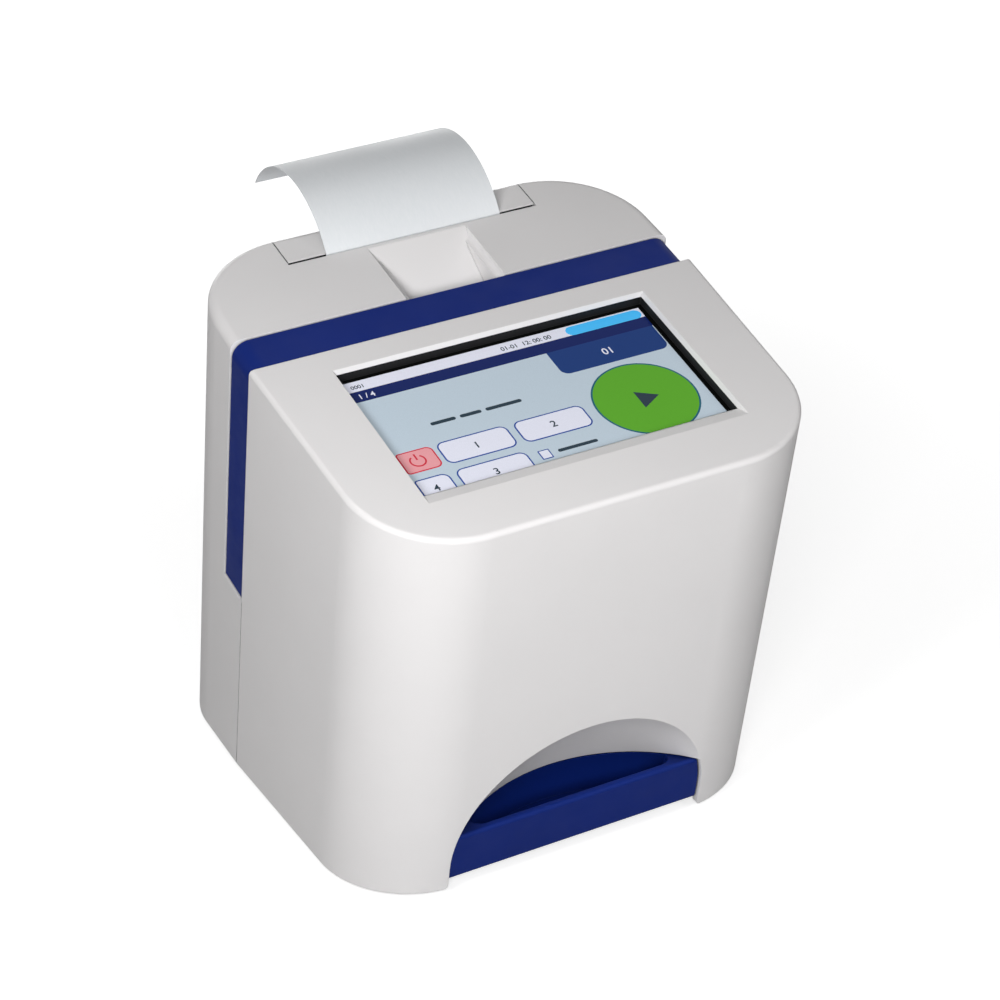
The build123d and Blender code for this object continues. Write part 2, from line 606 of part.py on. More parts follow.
# ---- drawer ------------------------------------------------------------------------------------
def drawer():
    """One moulding: leaning front wall, scooped finger pocket and the tray behind it."""
    rear = FRONT_Y + DRAWER_LENGTH
    body = arch_prism(DRAWER_CLEAR, FRONT_Y - 20, rear)
    body = body & block(-60, 60, -FAR, FAR, DRAWER_BOTTOM, DRAWER_TOP)
    # The front face is parallel to the case's leaning front wall.
    face_t = -FRONT_DEPTH + DRAWER_RECESS
    body = body & lean(block(-60, 60, face_t, FAR, -FAR - 50, 20))
    body = fillet(body.edges().filter_by(Axis.X).sort_by(Axis.Y)[:2], DRAWER_EDGE_R)
    # The pocket carries the niche's ball on downward, between rounded ends behind the ledge.
    reach = 60
    ends = RectangleRounded(2 * POCKET_HALF, reach, POCKET_CORNER_R)
    ends = extrude(Pos(0, face_t + LEDGE + reach / 2, -FAR) * ends, FAR)
    body -= niche_ball() & above(TRAY_FLOOR) & lean(ends)
    half_x, half_y = INSERT_SIZE[0] / 2, INSERT_SIZE[1] / 2
    seat = block(-half_x, half_x, SEAT_Y - half_y, SEAT_Y + half_y, INSERT_FLOOR, DRAWER_TOP + 5)
    body -= fillet(seat.edges().filter_by(Axis.Z), 2)
    # Open ribbed tail: pockets between cross ribs behind the seat, to save weight.
    for i in range(TAIL_POCKETS):
        y0 = SEAT_Y + 18.5 + 20.5 * i
        body -= block(-38.5, 38.5, y0, y0 + 18.5, TRAY_FLOOR, DRAWER_TOP + 5)
    body -= block(-60, 60, SEAT_Y + 17, FAR, DRAWER_TOP - 6, DRAWER_TOP + 5)
    flange = block(40, FLANGE_HALF, FRONT_Y + DRAWER_TRAVEL + 6, rear, *FLANGE_Z)
    return body + both_sides(flange)


def cassette_tray():
    """Insert with the seat for one cassette and a thumb notch at its side."""
    x, y = INSERT_SIZE[0] / 2 - 0.05, INSERT_SIZE[1] / 2 - 0.05
    top = DRAWER_TOP - 1.2
    insert = block(-x, x, SEAT_Y - y, SEAT_Y + y, INSERT_FLOOR, top)
    insert = fillet(insert.edges().filter_by(Axis.Z), 1.95)
    seat_floor = top - CASSETTE[2]
    insert -= Pos(0, SEAT_Y, seat_floor) * extrude(RectangleRounded(CASSETTE[0], CASSETTE[1], 2), 20)
    thumb = extrude(SlotOverall(INSERT_SIZE[1] - 2, 14, rotation=90), 20)
    return insert - Pos(0, SEAT_Y, seat_floor - 2) * thumb


def drawer_rail(side):
    """Channel on the base plate that the drawer's side flange runs in."""
    y0, y1 = FRONT_Y + 12, FRONT_Y + DRAWER_LENGTH + 4
    inner, outer = RAIL_X
    rail = block(inner, outer, y0, y1, PLATE_TOP, 11.0)
    rail -= block(inner - 1, FLANGE_HALF + 0.5, y0 - 1, y1 + 1, FLANGE_Z[0] - 0.3, FLANGE_Z[1] + 0.3)
    for y in (y0, y1 - 8):
        rail += block(outer, outer + 3, y, y + 8, PLATE_TOP, 6)
    return rail if side > 0 else mirror(rail, Plane.YZ)


def drawer_switch():
    y0 = FRONT_Y + DRAWER_LENGTH + 2.5
    body = block(-10, 10, y0, y0 + 6.5, PLATE_TOP, PLATE_TOP + 10)
    return body + block(-1.5, 1.5, y0 - 1.8, y0, PLATE_TOP + 5, PLATE_TOP + 8)


# ---- printer -------------------------------------------------------------------------------------
def pitch_r(teeth):
    return GEAR_MODULE * teeth / 2


def step(t, h, teeth, next_teeth, angle):
    """Axis of the next gear of a meshing pair."""
    distance = pitch_r(teeth) + pitch_r(next_teeth) + MESH_CLEAR
    return t + distance * cos(radians(angle)), h + distance * sin(radians(angle))


PLATEN_T = paper_t + 0.2 + PLATEN_R
HEAD_T = paper_t - HEAD_GAP
IDLER_T, IDLER_H = step(PLATEN_T, PLATEN_H, PLATEN_TEETH, IDLER_TEETH, IDLER_ANGLE)
PINION_T, PINION_H = step(IDLER_T, IDLER_H, IDLER_TEETH, PINION_TEETH, PINION_ANGLE)
# A gap of the idler faces the platen gear's tooth, and the pinion's phase follows from it.
idler_tooth = IDLER_ANGLE - 180 + 180 / IDLER_TEETH
idler_offset = (PINION_ANGLE - idler_tooth) % (360 / IDLER_TEETH)
pinion_tooth = PINION_ANGLE - 180 + 180 / PINION_TEETH + idler_offset * IDLER_TEETH / PINION_TEETH


def gear(teeth, bore, tooth_at):
    """Spur gear about the X axis, with one tooth centred on the side-view angle tooth_at."""
    pitch = pitch_r(teeth)
    tip = pitch + 0.95 * GEAR_MODULE
    root = pitch - 1.2 * GEAR_MODULE
    flank = ((root, -0.31), (pitch, -0.21), (tip, -0.09), (tip, 0.09), (pitch, 0.21), (root, 0.31))
    points = []
    for i in range(teeth):
        for radius, share in flank:
            angle = radians(tooth_at + (i + share) * 360 / teeth)
            points.append((radius * cos(angle), radius * sin(angle)))
    face = make_face(Polyline(*points, close=True)) - Circle(bore)
    return extrude(Plane.YZ * face, GEAR_WIDTH)


def platen_gear():
    return lean(Pos(GEAR_X, PLATEN_T, PLATEN_H) * gear(PLATEN_TEETH, SHAFT_R, IDLER_ANGLE))


def idler_gear():
    wheel = gear(IDLER_TEETH, GEAR_PIN_R + 0.05, idler_tooth)
    for i in range(4):
        angle = radians(45 + 90 * i)
        wheel -= Pos(0, 5.6 * cos(angle), 5.6 * sin(angle)) * Rot(0, 90, 0) * Cylinder(1.8, 20)
    return lean(Pos(GEAR_X, IDLER_T, IDLER_H) * wheel)


def motor_pinion():
    return lean(Pos(GEAR_X, PINION_T, PINION_H) * gear(PINION_TEETH, SHAFT_R, pinion_tooth))


def printer_frame():
    """Paper bucket with side plates, and the plate that carries the motor and the gear pin."""
    wide = FRAME_X + FRAME_SHEET
    back = ROLL_T - 19
    front = back - 2
    outer = rod_x(TROUGH_R + FRAME_SHEET, -wide, wide, ROLL_T, ROLL_H)
    trough = rod_x(TROUGH_R, -FRAME_X, FRAME_X, ROLL_T, ROLL_H)
    bucket = outer - trough
    bucket -= block(-FRAME_X, FRAME_X, -60, 80, ROLL_H + 8, 40)
    bucket -= block(-80, 80, ROLL_T + 15, 90, ROLL_H - 2, 40)
    side = block(FRAME_X, wide, front + 1, SLOT_T - 2.5, ROLL_H, -7.5)
    side += block(FRAME_X, wide, front + 1, ROLL_T + 8, ROLL_H - 6, ROLL_H + 2)
    bucket += both_sides(side) + block(-wide, wide, front, back, ROLL_H, -16)
    # Motor plate and its bridge back to the side plate, under the gears.
    bucket += block(MOTOR_PLATE_X, MOTOR_PLATE_X + 1.4, front + 1, SLOT_T - 3, -44, -11)
    bucket += block(FRAME_X + 1, MOTOR_PLATE_X + 0.5, front + 1, ROLL_T + 4, -44, -41)
    bucket += rod_x(GEAR_PIN_R, FRAME_X + 0.5, MOTOR_PLATE_X + 1, IDLER_T, IDLER_H)
    bucket -= rod_x(SHAFT_R + 1.2, MOTOR_PLATE_X - 1, MOTOR_PLATE_X + 3, PINION_T, PINION_H)
    # Mounting wings that reach the accent frame's lip at the side walls.
    bucket += both_sides(block(FRAME_X + 0.6, 67.0, front, back, -60, -44))
    apron = block(-FRAME_X, FRAME_X, front, back, -60, -40)
    return lean(bucket + (apron - trough))


def print_head():
    """Thermal head with its finned heat sink, standing just in front of the platen."""
    head = block(-30, 30, HEAD_T - 1.0, HEAD_T, -17, -5.8)
    head += block(-27, 27, HEAD_T - 3.4, HEAD_T - 1.0, -17, -6.5)
    for i in range(5):
        low = -16.8 + 2.2 * i
        head += block(-27, 27, HEAD_T - 5.4, HEAD_T - 3.4, low, low + 1)
    return lean(head)


def head_spring():
    """Bent leaf that presses the head toward the platen."""
    back = HEAD_T - 5.4
    leaf = block(-12, 12, back - 0.6, back, -15.5, -8)
    leaf += block(-12, 12, ROLL_T - 19, back, -16.1, -15.5)
    return lean(leaf)


def tear_bar():
    """Serrated steel blade under the front lip of the slot."""
    half = PLATEN_LENGTH / 2
    count = int(2 * half / TEAR_PITCH)
    points = [(-half, -3)]
    for i in range(count):
        x = -half + i * TEAR_PITCH
        points += [(x, 0), (x + TEAR_PITCH / 2, 0.7)]
    points += [(-half + count * TEAR_PITCH, 0), (-half + count * TEAR_PITCH, -3)]
    blade = extrude(make_face(Polyline(*points, close=True)), 0.6)
    return lean(Pos(0, SLOT_T - 1.0, -TOP_WALL - 0.65) * blade)


def printer_motor():
    """Drawn can on the motor plate, with its rear bearing and its fixing strap."""
    face = MOTOR_PLATE_X + 1.4
    can = rod_x(8, face, MOTOR_PLATE_X + 13, PINION_T, PINION_H)
    can += rod_x(2.4, MOTOR_PLATE_X + 13, MOTOR_PLATE_X + 14, PINION_T, PINION_H)
    can += block(face, face + 0.8, PINION_T - 11.5, PINION_T + 11.5, PINION_H - 3, PINION_H + 3)
    return lean(can)


def platen_shaft():
    return lean(rod_x(SHAFT_R, -FRAME_X - 7, FRAME_X + 7, PLATEN_T, PLATEN_H))


def platen_rubber():
    half = PLATEN_LENGTH / 2
    return lean(tube_x(PLATEN_R, SHAFT_R, -half, half, PLATEN_T, PLATEN_H))


def pinion_shaft():
    return lean(rod_x(SHAFT_R, GEAR_X - 0.5, MOTOR_PLATE_X + 1.3, PINION_T, PINION_H))


def paper_roll():
    return lean(tube_x(ROLL_R, CORE_R[0], -PAPER_WIDTH / 2, PAPER_WIDTH / 2, ROLL_T, ROLL_H))


def paper_core():
    return lean(tube_x(*CORE_R, -PAPER_WIDTH / 2, PAPER_WIDTH / 2, ROLL_T, ROLL_H))


def paper_strip():
    """Printed strip that leaves the slot, rises and curls back over the door."""
    slot_y, slot_z = to_world(paper_t, 0, SEAM_Y)
    cy = slot_y - PAPER_BEND_R * cos(radians(PAPER_START))
    cz = slot_z - PAPER_BEND_R * sin(radians(PAPER_START))
    half = PAPER_WIDTH / 2
    outer, inner = PAPER_BEND_R + PAPER_THICK / 2, PAPER_BEND_R - PAPER_THICK / 2
    ring = tube_x(outer, inner, -half, half, cy, cz)
    # The kept sector runs from the slot over the top to the loose end.
    fan = [(cy, cz)]
    for i in range(5):
        angle = radians(PAPER_START - PAPER_SWEEP * i / 4)
        fan.append((cy + 2 * outer * cos(angle), cz + 2 * outer * sin(angle)))
    curl = ring & side_prism(fan, half + 1)
    # Inside, the strip runs straight up from the nip between the head and the platen.
    tail = block(-half, half, paper_t - PAPER_THICK / 2, paper_t + PAPER_THICK / 2, PLATEN_H - 1, 0.08)
    return curl + lean(tail)


LIP_T = SLOT_T + SLOT_GAP   # front edge of the door
LIP_UNDERCUT = WALL - LIP_EDGE


def platen_holder():
    """Black bar under the door's lip that stiffens it and guides the paper over the platen."""
    low, under, back = PLATEN_H + PLATEN_R + 0.6, -WALL - 1.2, LIP_T + 8
    bar = [(LIP_T, -LIP_EDGE), (LIP_T, under), (back, under), (back, -WALL),
           (LIP_T + LIP_UNDERCUT, -WALL)]
    skirt = block(-PLATEN_LENGTH / 2 - 3, PLATEN_LENGTH / 2 + 3, LIP_T, LIP_T + 1.1, low, under)
    return lean(side_prism(bar, DOOR_HALF - 0.5) + skirt)


def printer_door():
    """Wrap-over door: undercut top lip, rear panel, ears for the platen and hinge."""
    half = DOOR_HALF
    inner_t = REAR_DEPTH - WALL
    skin = [(LIP_T, 0), (REAR_DEPTH, 0), (REAR_DEPTH, HINGE_H), (inner_t, HINGE_H),
            (inner_t, -WALL), (LIP_T + LIP_UNDERCUT, -WALL), (LIP_T, -LIP_EDGE)]
    door = side_prism(skin, half)
    rear_edge = door.edges().filter_by(Axis.X).sort_by(lambda e: e.center().Y + e.center().Z)[-1]
    door = fillet(rear_edge, REAR_EDGE_R)
    door += rod_x(HINGE_R, -half, half, HINGE_T, HINGE_H)
    ear = block(EAR_X, half, PLATEN_T - 2.5, REAR_DEPTH - 1, PLATEN_H - 3, -WALL)
    ear += block(EAR_X, half, REAR_DEPTH - 5, REAR_DEPTH - 1, HINGE_H, -1)
    rib = block(19.2, 20.8, REAR_DEPTH - 5, REAR_DEPTH - 1, HINGE_H, -18)
    door += both_sides(ear + rib)
    door -= rod_x(SHAFT_R + 0.06, -FRAME_X - 7.3, FRAME_X + 7.3, PLATEN_T, PLATEN_H)
    door -= rod_x(HINGE_PIN_R + 0.06, -half - 1, half + 1, HINGE_T, HINGE_H)
    return lean(door) - platen_holder()


def door_hinge_pin():
    return lean(rod_x(HINGE_PIN_R, -DOOR_HALF - 4, DOOR_HALF + 4, HINGE_T, HINGE_H))


# ---- rear sockets ---------------------------------------------------------------------------------
IO_BOARD_T = REAR_DEPTH - IO_BOARD_BACK
SWITCH_T = REAR_DEPTH - 2.0  # axis of the rocker


def socket_block(x, half_wide, half_high, t0, t1):
    """Box about the sockets' line, between two distances from the seam."""
    return block(x - half_wide, x + half_wide, t0, t1, SOCKET_H - half_high, SOCKET_H + half_high)


def rod_t(radius, x, t, h, length):
    """Cylinder square to the rear wall."""
    return Pos(x, t, h) * Rot(90, 0, 0) * Cylinder(radius, length)


def io_board():
    board = block(-52, 58, IO_BOARD_T - BOARD_THICK, IO_BOARD_T, SOCKET_H - 14, SOCKET_H + 14)
    for x, wide in ((-20, 10), (12, 8)):
        board += block(x - wide / 2, x + wide / 2, IO_BOARD_T - 4, IO_BOARD_T - BOARD_THICK,
                       SOCKET_H - 4, SOCKET_H + 6)
    return lean(board)


def power_inlet():
    body = socket_block(POWER_X, 5, 5.5, IO_BOARD_T, REAR_DEPTH - WALL)
    body += rod_t(4.4, POWER_X, REAR_DEPTH - 2, SOCKET_H, 4)
    body -= rod_t(2.8, POWER_X, REAR_DEPTH - 4, SOCKET_H, 9)
    return lean(body + rod_t(1.0, POWER_X, REAR_DEPTH - 5, SOCKET_H, 9))


def usb_sockets():
    """Pair of stacked sockets with their tongues."""
    shell = socket_block(USB_X, 7, 7.8, IO_BOARD_T, REAR_DEPTH - 0.6)
    for h in (SOCKET_H - 4, SOCKET_H + 4):
        shell -= block(USB_X - 6.3, USB_X + 6.3, REAR_DEPTH - 12, REAR_DEPTH + 2, h - 2.6, h + 2.6)
        shell += block(USB_X - 5.6, USB_X + 5.6, REAR_DEPTH - 13, REAR_DEPTH - 2.5, h + 0.2, h + 2.0)
    return lean(shell)


def serial_socket():
    """Nine-way socket: flange, shell and the D-shaped nose with two rows of holes."""
    inner = REAR_DEPTH - WALL
    body = socket_block(SERIAL_X, 15.4, 6.2, inner - 1.6, inner - 0.1)
    body += socket_block(SERIAL_X, 9.6, 5.2, IO_BOARD_T, inner - 1)
    dee = make_face(Polyline((-8.4, 3.9), (8.4, 3.9), (7.2, -3.9), (-7.2, -3.9), close=True))
    body += Pos(SERIAL_X, REAR_DEPTH - 5, SOCKET_H) * extrude(Plane.XZ * chamfer(dee.vertices(), 1.2), -7.5)
    for count, h in ((5, SOCKET_H + 1.4), (4, SOCKET_H - 1.4)):
        for i in range(count):
            x = SERIAL_X + (i - (count - 1) / 2) * 2.7
            body -= rod_t(0.5, x, REAR_DEPTH + 1, h, 8)
    return lean(body)


def switch_body():
    """Frame of the rear power switch, with its bezel on the wall."""
    wide, high = SWITCH_SIZE[0] / 2, SWITCH_SIZE[1] / 2
    bezel = socket_block(SWITCH_X, wide + 2.2, high + 2.2, REAR_DEPTH, REAR_DEPTH + 1.2)
    bezel += socket_block(SWITCH_X, wide + 1.2, high + 1.2, REAR_DEPTH - 14, REAR_DEPTH + 1)
    return lean(bezel - socket_block(SWITCH_X, wide, high, REAR_DEPTH - 9, REAR_DEPTH + 3))


def power_rocker():
    """Rocker with its two sloping halves, resting on the off side."""
    side = [(-3.2, -6.6), (3.0, -7.6), (1.8, 0), (3.0, 7.6), (-3.2, 6.6)]
    rocker = Rot(-ROCK, 0, 0) * side_prism(side, 5)
    return lean(Pos(SWITCH_X, SWITCH_T, SOCKET_H) * rocker)


PIECES = (
    front_cover, rear_cover, accent_frame, base_plate, rubber_feet, case_screws,
    screen_gasket, touch_panel, display_module, display_bracket, main_board, board_screws,
    optics_frame, optics_hood, camera_board, camera_lens, led_ring,
    drawer, cassette_tray, drawer_switch,
    printer_frame, print_head, head_spring, tear_bar, printer_motor, pinion_shaft,
    platen_shaft, platen_rubber, platen_gear, idler_gear, motor_pinion,
    paper_roll, paper_core, paper_strip, printer_door, platen_holder, door_hinge_pin,
    io_board, power_inlet, usb_sockets, serial_socket, switch_body, power_rocker,
)

for piece in PIECES:
    save(piece.__name__, piece())
for side, name in ((-1, "drawer_rail_left"), (1, "drawer_rail_right")):
    save(name, drawer_rail(side))

print(f"seam y {SEAM_Y:.2f}, front wall foot y {FRONT_Y:.2f}, top {seam_top_z:.2f}")
AXES = (("PLATEN", PLATEN_T, PLATEN_H), ("IDLER", IDLER_T, IDLER_H), ("PINION", PINION_T, PINION_H),
        ("ROLL", ROLL_T, ROLL_H), ("HINGE", HINGE_T, HINGE_H), ("ROCKER", SWITCH_T, SOCKET_H))
for name, t, h in AXES:
    y, z = to_world(t, h, SEAM_Y)
    print(f"{name} ({y:.3f},{z:.3f})")
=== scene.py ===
import json
from math import cos, pi, radians, sin

import bmesh
import bpy
from mathutils import Matrix, Vector


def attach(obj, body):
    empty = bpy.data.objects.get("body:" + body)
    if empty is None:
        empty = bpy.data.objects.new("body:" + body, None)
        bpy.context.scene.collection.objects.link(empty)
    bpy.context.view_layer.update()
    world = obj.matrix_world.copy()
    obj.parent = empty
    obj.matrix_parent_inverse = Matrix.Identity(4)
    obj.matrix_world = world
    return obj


# Looks of a desktop rapid test reader: camera, materials, the lit screen and the studio.
# Metres, +Z up, the user stands on the -Y side.

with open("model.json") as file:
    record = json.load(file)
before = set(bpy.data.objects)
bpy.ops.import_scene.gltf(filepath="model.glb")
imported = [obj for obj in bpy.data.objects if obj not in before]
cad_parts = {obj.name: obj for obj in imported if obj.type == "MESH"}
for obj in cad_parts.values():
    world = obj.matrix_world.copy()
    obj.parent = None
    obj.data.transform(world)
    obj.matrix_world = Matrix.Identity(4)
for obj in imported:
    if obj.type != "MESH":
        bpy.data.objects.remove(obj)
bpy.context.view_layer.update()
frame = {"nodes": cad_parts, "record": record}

MM = 0.001

# ---- camera ---------------------------------------------------------------------------
CAMERA_PLACE = Vector((-346.6, -687.2, 545.0)) * MM
CAMERA_TARGET = Vector((12.6, 9.45, 82.74)) * MM
CAMERA_ROLL = -1.16         # degrees
CAMERA_LENS = 108.1         # on a sensor 36 mm wide


def make_camera():
    data = bpy.data.cameras.new("camera")
    data.lens = CAMERA_LENS
    data.sensor_width = 36.0
    data.sensor_fit = "HORIZONTAL"
    camera = bpy.data.objects.new("camera", data)
    bpy.context.scene.collection.objects.link(camera)
    back = (CAMERA_PLACE - CAMERA_TARGET).normalized()
    right = (-back).cross(Vector((0, 0, 1))).normalized()
    up = right.cross(-back)
    roll = radians(CAMERA_ROLL)
    rolled_right = right * cos(roll) + up * sin(roll)
    rolled_up = up * cos(roll) - right * sin(roll)
    turn = Matrix((rolled_right, rolled_up, back)).transposed()
    camera.matrix_world = Matrix.Translation(CAMERA_PLACE) @ turn.to_4x4()
    bpy.context.scene.camera = camera


make_camera()
bpy.context.scene.view_settings.view_transform = "Standard"


# ---- node helpers -----------------------------------------------------------------------
class Nodes:
    """A material's node tree, with short calls for the nodes used here."""

    def __init__(self, name):
        self.material = bpy.data.materials.new(name)
        self.material.use_nodes = True
        self.tree = self.material.node_tree
        self.shader = self.tree.nodes["Principled BSDF"]
        self.place = self.add("ShaderNodeTexCoord").outputs["Object"]

    def add(self, kind, **settings):
        node = self.tree.nodes.new(kind)
        for key, value in settings.items():
            setattr(node, key, value)
        return node

    def link(self, source, target):
        self.tree.links.new(source, target)

    def noise(self, size_mm, detail=3.0, stretch=(1, 1, 1)):
        """Noise whose lumps are about size_mm across; returns its 0 to 1 value."""
        mapping = self.add("ShaderNodeMapping")
        mapping.inputs["Scale"].default_value = [1 / (size_mm * MM) * s for s in stretch]
        self.link(self.place, mapping.inputs["Vector"])
        noise = self.add("ShaderNodeTexNoise")
        noise.inputs["Scale"].default_value = 1.0
        noise.inputs["Detail"].default_value = detail
        self.link(mapping.outputs["Vector"], noise.inputs["Vector"])
        return noise.outputs["Fac"]

    def ramp(self, value, low, high, to_low=0.0, to_high=1.0):
        node = self.add("ShaderNodeMapRange")
        node.inputs["From Min"].default_value = low
        node.inputs["From Max"].default_value = high
        node.inputs["To Min"].default_value = to_low
        node.inputs["To Max"].default_value = to_high
        self.link(value, node.inputs["Value"])
        return node.outputs["Result"]

    def multiply(self, first, second):
        node = self.add("ShaderNodeMath", operation="MULTIPLY")
        self.link(first, node.inputs[0])
        self.link(second, node.inputs[1])
        return node.outputs[0]

    def mix(self, share, first, second):
        """Colour mix; first and second are colours or sockets."""
        node = self.add("ShaderNodeMix", data_type="RGBA")
        self.link(share, node.inputs["Factor"])
        for value, socket in ((first, node.inputs[6]), (second, node.inputs[7])):
            if isinstance(value, (tuple, list)):
                socket.default_value = (*value[:3], 1.0)
            else:
                self.link(value, socket)
        return node.outputs[2]

    def rounded(self, radius_mm):
        """Normal with the sharp edges softened over radius_mm."""
        node = self.add("ShaderNodeBevel", samples=4)
        node.inputs["Radius"].default_value = radius_mm * MM
        return node.outputs["Normal"]

    def edges(self, radius_mm):
        """1 on edges within radius_mm, 0 on flats."""
        dot = self.add("ShaderNodeVectorMath", operation="DOT_PRODUCT")
        self.link(self.rounded(radius_mm), dot.inputs[0])
        self.link(self.add("ShaderNodeNewGeometry").outputs["Normal"], dot.inputs[1])
        return self.ramp(dot.outputs["Value"], 0.995, 0.85)

    def unoccluded_share(self, reach_mm):
        """1 on open surfaces, towards 0 in seams and corners narrower than reach_mm; the mask that
        paints shade into them.
        """
        node = self.add("ShaderNodeAmbientOcclusion", samples=4)
        node.inputs["Distance"].default_value = reach_mm * MM
        return node.outputs["AO"]

    def bump(self, height, depth_mm, normal=None):
        node = self.add("ShaderNodeBump")
        node.inputs["Distance"].default_value = depth_mm * MM
        self.link(height, node.inputs["Height"])
        if normal is not None:
            self.link(normal, node.inputs["Normal"])
        return node.outputs["Normal"]


PAINTED_SEAM_SHADE = 0.38           # painted shade: colour left at the bottom of a seam


def scaled(colour, factor):
    return tuple(min(c * factor, 1.0) for c in colour)


def surface(name, colour, rough, metallic=0.0, mottle=0.03, mottle_mm=30.0, grain_mm=0.5,
            grain_depth_mm=0.01, worn=None, worn_mm=0.5, edge_mm=0.25, specular=0.5,
            stretch=(1, 1, 1), painted_shade_mm=0.0):
    """Moulded or machined surface: clouded colour, worn edges, grain, soft edges.

    A nonzero shade reach paints shade into the colour: seams and hollows narrower than it are
    darkened.
    """
    n = Nodes(name)
    clouds = n.noise(mottle_mm, 5.0)
    base = n.mix(n.ramp(clouds, 0.3, 0.7), scaled(colour, 1 - mottle), scaled(colour, 1 + mottle))
    if worn is not None:
        patches = n.ramp(n.noise(4.0, 4.0), 0.35, 0.65, 0.2, 1.0)
        base = n.mix(n.multiply(n.edges(worn_mm), patches), base, worn)
    # painted shade: the colour darkens in seams and hollows, where light falls short
    if painted_shade_mm:
        share = n.ramp(n.unoccluded_share(painted_shade_mm), 0.25, 0.7)
        base = n.mix(share, scaled(colour, PAINTED_SEAM_SHADE), base)
    n.link(base, n.shader.inputs["Base Color"])
    smears = n.noise(mottle_mm * 0.4, 6.0)
    n.link(n.ramp(smears, 0.3, 0.7, rough * 0.88, rough * 1.12), n.shader.inputs["Roughness"])
    grain = n.noise(grain_mm, 2.0, stretch)
    n.link(n.bump(grain, grain_depth_mm, n.rounded(edge_mm)), n.shader.inputs["Normal"])
    n.shader.inputs["Metallic"].default_value = metallic
    n.shader.inputs["Specular IOR Level"].default_value = specular
    return n.material


# ---- materials --------------------------------------------------------------------------
def cover_white():
    # painted shade: seams and narrow grooves are darkened within 1.2 mm
    return surface("cover_white", (0.80, 0.785, 0.785), 0.5, mottle=0.012, mottle_mm=45,
                   grain_mm=0.35, grain_depth_mm=0.008, worn=(0.86, 0.85, 0.85),
                   edge_mm=0.25, specular=0.22, painted_shade_mm=1.2)


def accent_blue():
    # painted shade: the 9 mm reach darkens the drawer pocket and other hollows
    return surface("accent_blue", (0.004, 0.0185, 0.165), 0.5, mottle=0.05, mottle_mm=25,
                   grain_mm=0.35, grain_depth_mm=0.008, worn=(0.02, 0.045, 0.26),
                   edge_mm=0.3, specular=0.11, painted_shade_mm=9.0)


def base_grey():
    return surface("base_grey", (0.24, 0.25, 0.26), 0.55, mottle=0.05, grain_mm=0.6,
                   grain_depth_mm=0.02, worn=(0.32, 0.33, 0.34))


def rubber_black():
    return surface("rubber_black", (0.03, 0.03, 0.03), 0.8, mottle=0.15, mottle_mm=6,
                   grain_mm=0.25, grain_depth_mm=0.03, worn=(0.09, 0.09, 0.09), specular=0.3)


def black_plastic():
    return surface("black_plastic", (0.012, 0.012, 0.0125), 0.5, mottle=0.1, mottle_mm=12,
                   grain_mm=0.4, grain_depth_mm=0.015, worn=(0.04, 0.04, 0.04), specular=0.15)


def screen_glass():
    n = Nodes("screen_glass")
    smears = n.ramp(n.noise(14.0, 4.0), 0.35, 0.75, 0.03, 0.09)
    n.link(smears, n.shader.inputs["Roughness"])
    tint = n.mix(n.noise(40.0), (0.003, 0.0032, 0.003), (0.005, 0.0054, 0.005))
    n.link(tint, n.shader.inputs["Base Color"])
    n.link(n.rounded(0.2), n.shader.inputs["Normal"])
    n.shader.inputs["Specular IOR Level"].default_value = 0.07
    return n.material


def screw_steel():
    return surface("screw_steel", (0.55, 0.55, 0.56), 0.32, metallic=1.0, mottle=0.06,
                   mottle_mm=3, grain_mm=0.3, grain_depth_mm=0.004, worn=(0.7, 0.7, 0.71),
                   stretch=(0.1, 1, 1))


def sheet_steel():
    return surface("sheet_steel", (0.56, 0.57, 0.58), 0.4, metallic=1.0, mottle=0.1,
                   mottle_mm=5, grain_mm=0.5, grain_depth_mm=0.004, worn=(0.72, 0.72, 0.73),
                   stretch=(0.05, 1, 1))


def display_metal():
    return surface("display_metal", (0.62, 0.63, 0.64), 0.35, metallic=1.0, mottle=0.05,
                   grain_mm=0.4, grain_depth_mm=0.003, worn=(0.75, 0.75, 0.76))


def board_green():
    """Solder mask over copper traces."""
    n = Nodes("board_green")
    traces = n.add("ShaderNodeTexBrick", offset=0.35)
    traces.inputs["Scale"].default_value = 260.0
    traces.inputs["Mortar Size"].default_value = 0.06
    traces.inputs["Mortar Smooth"].default_value = 0.1
    n.link(n.place, traces.inputs["Vector"])
    mask = n.ramp(n.noise(9.0, 2.0), 0.45, 0.5)
    lines = n.multiply(traces.outputs["Fac"], mask)
    base = n.mix(lines, (0.012, 0.09, 0.035), (0.03, 0.2, 0.07))
    n.link(base, n.shader.inputs["Base Color"])
    n.link(n.ramp(n.noise(5.0), 0.3, 0.7, 0.25, 0.4), n.shader.inputs["Roughness"])
    n.link(n.bump(lines, 0.04, n.rounded(0.15)), n.shader.inputs["Normal"])
    return n.material


def led_white():
    return surface("led_white", (0.8, 0.8, 0.74), 0.35, mottle=0.05, mottle_mm=3,
                   grain_mm=0.3, worn=(0.9, 0.9, 0.85))


def seat_grey():
    return surface("seat_grey", (0.58, 0.59, 0.6), 0.5, mottle=0.03, grain_mm=0.4,
                   grain_depth_mm=0.012, worn=(0.68, 0.69, 0.7))


def head_black():
    return surface("head_black", (0.08, 0.08, 0.09), 0.42, metallic=1.0, mottle=0.1,
                   grain_mm=0.3, worn=(0.4, 0.4, 0.42), worn_mm=0.3)


def gear_white():
    return surface("gear_white", (0.8, 0.8, 0.74), 0.42, mottle=0.03, mottle_mm=5,
                   grain_mm=0.3, worn=(0.7, 0.69, 0.62), worn_mm=0.25)


